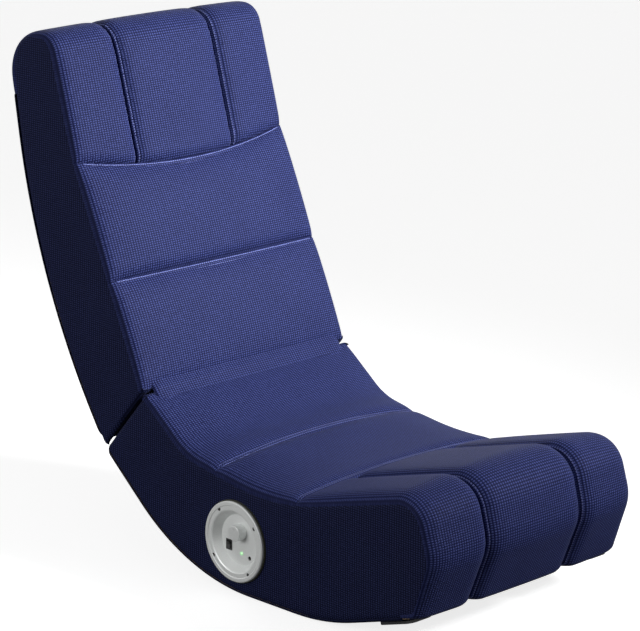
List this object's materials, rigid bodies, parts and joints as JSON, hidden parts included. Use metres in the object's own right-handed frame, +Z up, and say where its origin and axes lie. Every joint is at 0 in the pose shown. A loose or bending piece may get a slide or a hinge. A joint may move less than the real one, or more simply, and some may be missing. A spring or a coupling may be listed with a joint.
{
  "type": "gaming rocker chair",
  "caption": "Low padded floor rocker chair with a channelled back that folds forward, a rolled front edge, head cushion speakers and a round side control panel.",
  "frame": {"origin": "middle of the flat of the rocker bottom that meets the floor, at mid width", "axes": "+X to the sitter's left, the sitter faces -Y, +Z up"},
  "size_m": [0.4393, 0.933, 0.802],
  "materials": {
    "mesh_fabric": "matte",
    "under_fabric": "matte",
    "strap_webbing": "matte",
    "plywood": "matte",
    "zinc_steel": "satin",
    "dark_screws": "satin",
    "silver_plastic": "satin",
    "knob_plastic": "satin",
    "gasket_foam": "matte",
    "black_plastic": "matte",
    "green_lens": "gloss",
    "circuit_board": "satin",
    "speaker_paper": "matte",
    "ferrite": "matte"
  },
  "bodies": {
    "seat": {"amplifier_board": "circuit_board", "front_glide_left": "black_plastic", "front_glide_right": "black_plastic", "hinge_pins": "zinc_steel", "hinge_seat_leaves": "zinc_steel", "hinge_seat_screws": "zinc_steel", "jack_socket": "black_plastic", "panel_back_box": "black_plastic", "panel_bezel": "silver_plastic", "panel_gasket": "gasket_foam", "panel_screws": "dark_screws", "power_led": "green_lens", "power_switch": "black_plastic", "seat_base_board": "plywood", "seat_bolster_centre": "mesh_fabric", "seat_bolster_left": "mesh_fabric", "seat_bolster_right": "mesh_fabric", "seat_frame_screws": "zinc_steel", "seat_front_rail": "plywood", "seat_middle_rail": "plywood", "seat_pad_middle": "mesh_fabric", "seat_pad_rear": "mesh_fabric", "seat_rear_rail": "plywood", "seat_shelf_board": "plywood", "seat_side_cover_left": "mesh_fabric", "seat_side_cover_right": "mesh_fabric", "seat_side_panel_left": "plywood", "seat_side_panel_right": "plywood", "seat_straps": "strap_webbing", "seat_under_cover": "under_fabric", "volume_pot": "black_plastic"},
    "back": {"back_bottom_rail": "plywood", "back_frame_screws": "zinc_steel", "back_middle_rail": "plywood", "back_pad_lower": "mesh_fabric", "back_pad_upper": "mesh_fabric", "back_rear_cover": "mesh_fabric", "back_side_cover_left": "mesh_fabric", "back_side_cover_right": "mesh_fabric", "back_side_rail_left": "plywood", "back_side_rail_right": "plywood", "back_straps": "strap_webbing", "back_top_rail": "plywood", "headrest_centre": "mesh_fabric", "headrest_left": "mesh_fabric", "headrest_right": "mesh_fabric", "hinge_back_leaves": "zinc_steel", "hinge_back_screws": "zinc_steel", "speaker_baffle": "plywood", "speaker_basket_left": "black_plastic", "speaker_basket_right": "black_plastic", "speaker_cone_left": "speaker_paper", "speaker_cone_right": "speaker_paper", "speaker_magnet_left": "ferrite", "speaker_magnet_right": "ferrite", "speaker_screws": "dark_screws"},
    "knob": {"volume_knob": "knob_plastic"},
    "switch": {"switch_rocker": "black_plastic"}
  },
  "joints": [
    {"name": "back_fold", "type": "hinge", "parent": "seat", "child": "back", "pos_m": [0, 0.27387, 0.26966], "axis": [1, 0, 0], "range_deg": [0, 95]},
    {"name": "volume_turn", "type": "hinge", "parent": "seat", "child": "knob", "pos_m": [-0.209, 0.067, 0.098], "axis": [-1, 0, 0], "range_deg": [-270, 0]},
    {"name": "switch_tip", "type": "hinge", "parent": "seat", "child": "switch", "pos_m": [-0.2084, 0.093, 0.072], "axis": [0, 1, 0], "range_deg": [0, 12]}
  ]
}
